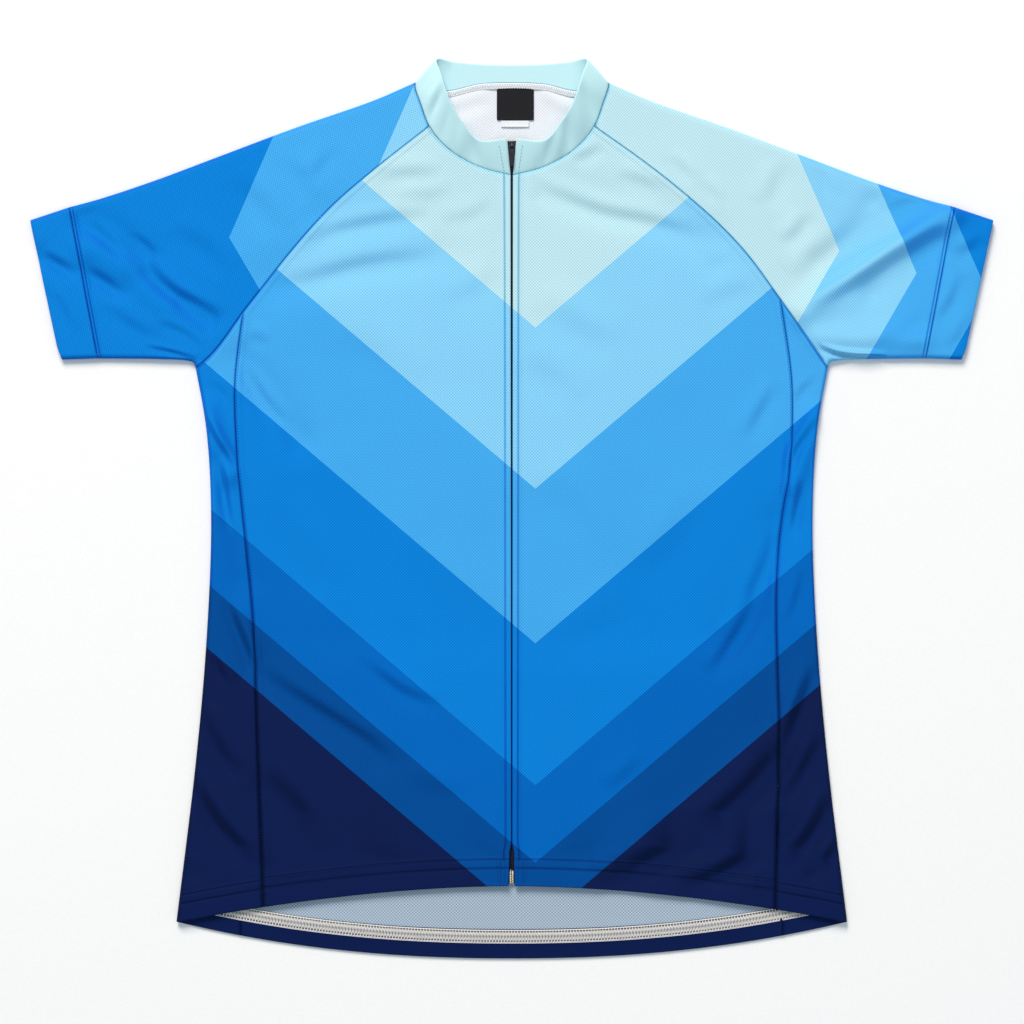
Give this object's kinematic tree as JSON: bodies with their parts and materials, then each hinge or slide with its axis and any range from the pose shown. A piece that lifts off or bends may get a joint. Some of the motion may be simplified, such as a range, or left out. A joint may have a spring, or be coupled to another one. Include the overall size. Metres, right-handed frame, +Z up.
{
  "type": "cycling jersey",
  "caption": "Short-sleeved cycling jersey with raglan sleeves, standing collar, full-length zip and rear pocket panel, laid flat with its front up.",
  "frame": {"origin": "on the surface the jersey lies on, under the centre of its outline", "axes": "+Z up out of the surface, +Y towards the collar, +X towards the wearer's left sleeve"},
  "size_m": [0.8178, 0.764, 0.0142],
  "materials": {
    "back_cloth": "matte mesh knit, printed outside, pale inside",
    "front_cloth": "matte birdseye knit, printed in blue bands",
    "side_cloth": "matte fine pique knit, printed",
    "sleeve_cloth": "matte fine pique knit, printed",
    "sleeve_band_cloth": "matte stretch knit, printed",
    "collar_cloth": "smooth fine rib knit, printed",
    "pocket_cloth": "matte knit, printed",
    "zip_tape": "woven tape",
    "slider_metal": "satin black paint",
    "box_metal": "satin",
    "dark_label": "smooth satin-woven label",
    "light_label": "smooth satin-woven label"
  },
  "bodies": {
    "garment": {"back": "back_cloth", "front_right": "front_cloth", "front_left": "front_cloth", "side_right": "side_cloth", "side_left": "side_cloth", "sleeve_right": "sleeve_cloth", "sleeve_left": "sleeve_cloth", "sleeve_band_right": "sleeve_band_cloth", "sleeve_band_left": "sleeve_band_cloth", "collar": "collar_cloth", "rear_pocket_panel": "pocket_cloth", "zip_tape_right": "zip_tape", "zip_tape_left": "zip_tape", "zip_slider": "slider_metal", "zip_box": "box_metal", "neck_label": "dark_label", "care_label": "light_label"},
    "pull_tab": {"zip_pull": "slider_metal"}
  },
  "joints": [
    {"name": "pull_hinge", "type": "hinge", "parent": "garment", "child": "pull_tab", "pos_m": [0, 0.3078, 0.0084], "axis": [-1, 0, 0], "range_deg": [0, 160]}
  ]
}
